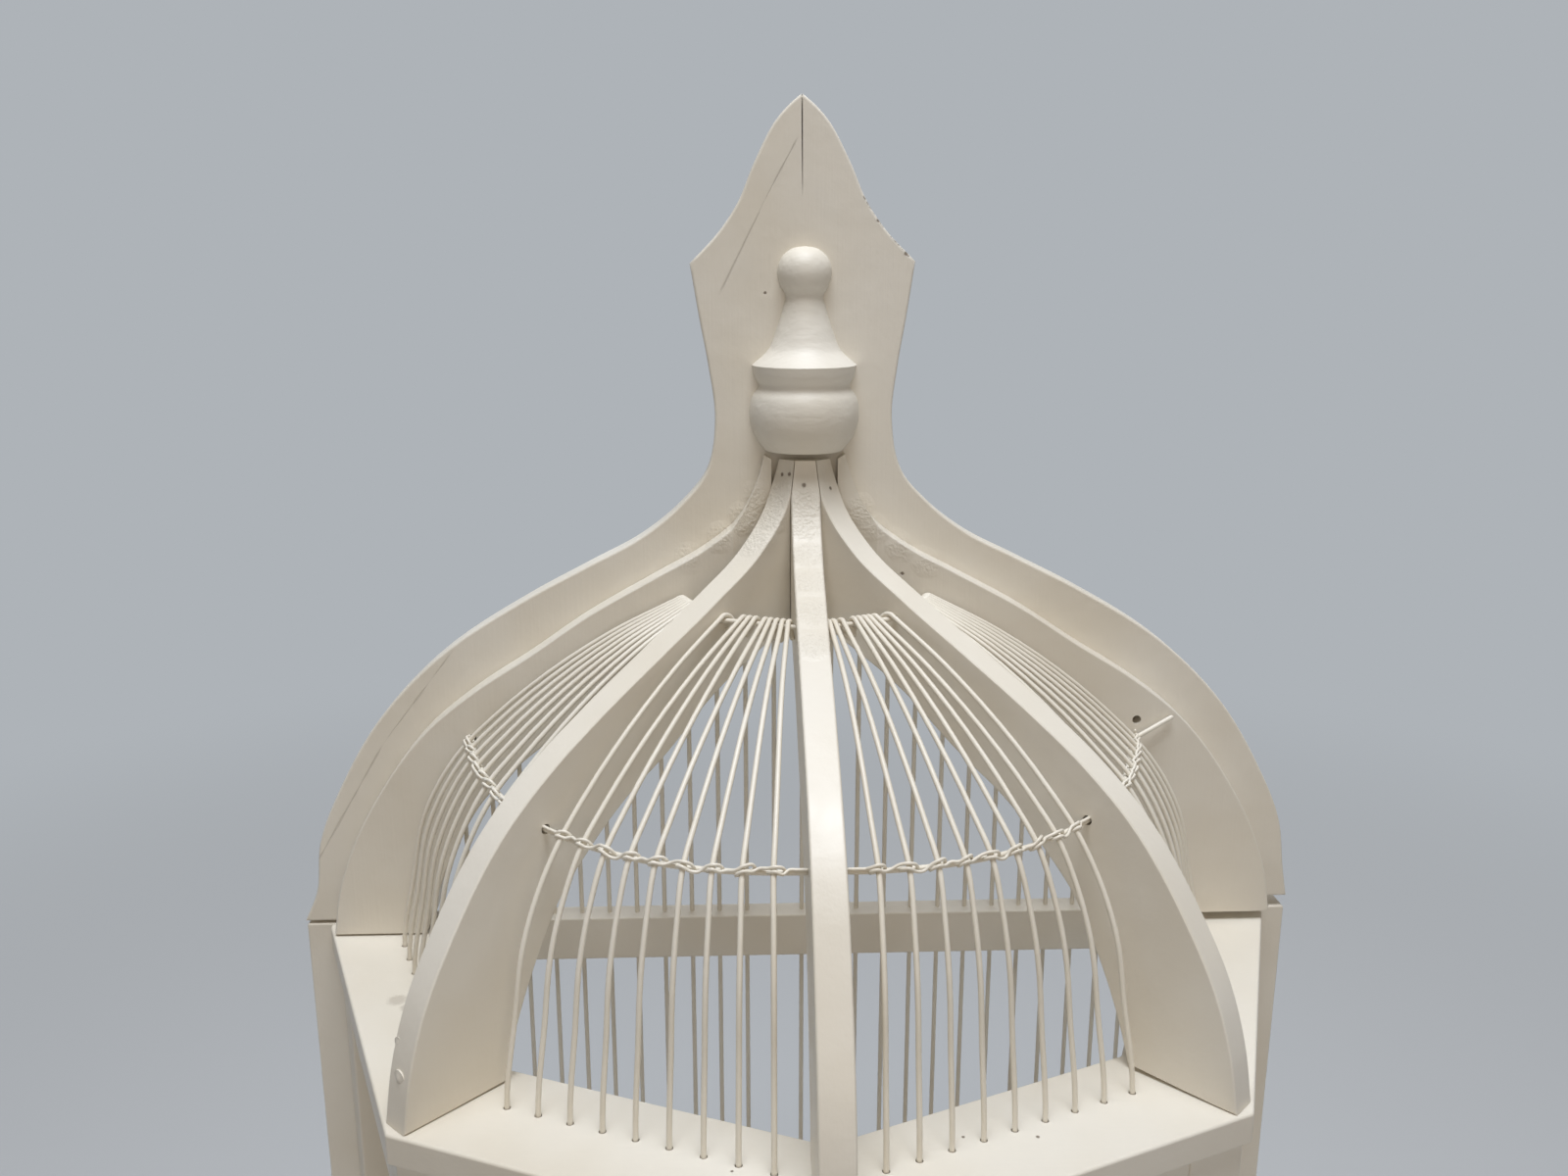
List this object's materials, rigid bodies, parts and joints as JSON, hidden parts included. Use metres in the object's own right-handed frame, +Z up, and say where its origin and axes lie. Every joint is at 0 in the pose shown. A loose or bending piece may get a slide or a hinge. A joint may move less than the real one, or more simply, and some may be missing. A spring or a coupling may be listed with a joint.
{
  "type": "bird cage",
  "caption": "Half-octagon wall bird cage with a domed wire top under curved wooden ribs, a tall shaped back board with a turned finial, a shelf, a wired body with a hinged door, and a perch.",
  "frame": {"origin": "underside of the base plate, on the octagon's axis and level with the front face of the back boards", "axes": "+Z up to the crest, +Y back to the wall, +X to the right seen from the front"},
  "size_m": [0.4415, 0.222, 0.6786],
  "materials": {
    "painted_wood": "softwood and board brushed with cream satin enamel",
    "painted_wire": "straight steel wire painted with the same cream enamel",
    "painted_hinge": "pressed steel butt hinges painted over in cream enamel",
    "steel": "bare steel hinge pins",
    "brass": "round-head brass screw",
    "bare_wood": "unpainted beech dowel"
  },
  "bodies": {
    "cage": {"dome_board_left": "painted_wood", "dome_board_right": "painted_wood", "crest_finial": "painted_wood", "shelf": "painted_wood", "base_plate": "painted_wood", "back_stile_left": "painted_wood", "back_stile_right": "painted_wood", "back_rail": "painted_wood", "back_sill": "painted_wood", "rib_back_left": "painted_wood", "rib_front_left": "painted_wood", "rib_centre": "painted_wood", "rib_front_right": "painted_wood", "rib_back_right": "painted_wood", "post_back_left": "painted_wood", "post_front_left": "painted_wood", "post_centre": "painted_wood", "post_front_right": "painted_wood", "post_back_right": "painted_wood", "frieze_side_left": "painted_wood", "frieze_front_left": "painted_wood", "frieze_front_right": "painted_wood", "frieze_side_right": "painted_wood", "sill_side_left": "painted_wood", "sill_front_left": "painted_wood", "sill_front_right": "painted_wood", "sill_side_right": "painted_wood", "door_header": "painted_wood", "top_wires": "painted_wire", "tie_wires": "painted_wire", "back_wires": "painted_wire", "dome_wires_side_left": "painted_wire", "dome_wires_front_left": "painted_wire", "dome_wires_front_right": "painted_wire", "dome_wires_side_right": "painted_wire", "body_wires_side_left": "painted_wire", "body_wires_front_left": "painted_wire", "body_wires_front_right": "painted_wire", "body_wires_side_right": "painted_wire", "hinge_leaves_post": "painted_hinge", "hinge_pins": "steel", "button_screw": "brass", "perch": "bare_wood"},
    "door": {"door_stile_left": "painted_wood", "door_stile_right": "painted_wood", "door_rail_top": "painted_wood", "door_rail_bottom": "painted_wood", "door_knob": "painted_wood", "door_bars": "painted_wire", "hinge_leaves_door": "painted_hinge"},
    "turn_button": {"turn_button": "painted_wood"}
  },
  "joints": [
    {"name": "door_swing", "type": "hinge", "parent": "cage", "child": "door", "pos_m": [0.12552, -0.15768, 0.115], "axis": [0, 0, 1], "range_deg": [0, 110]},
    {"name": "button_turn", "type": "hinge", "parent": "cage", "child": "turn_button", "pos_m": [0.01397, -0.20129, 0.15], "axis": [0.3827, -0.9239, 0], "range_deg": [0, 90]}
  ]
}
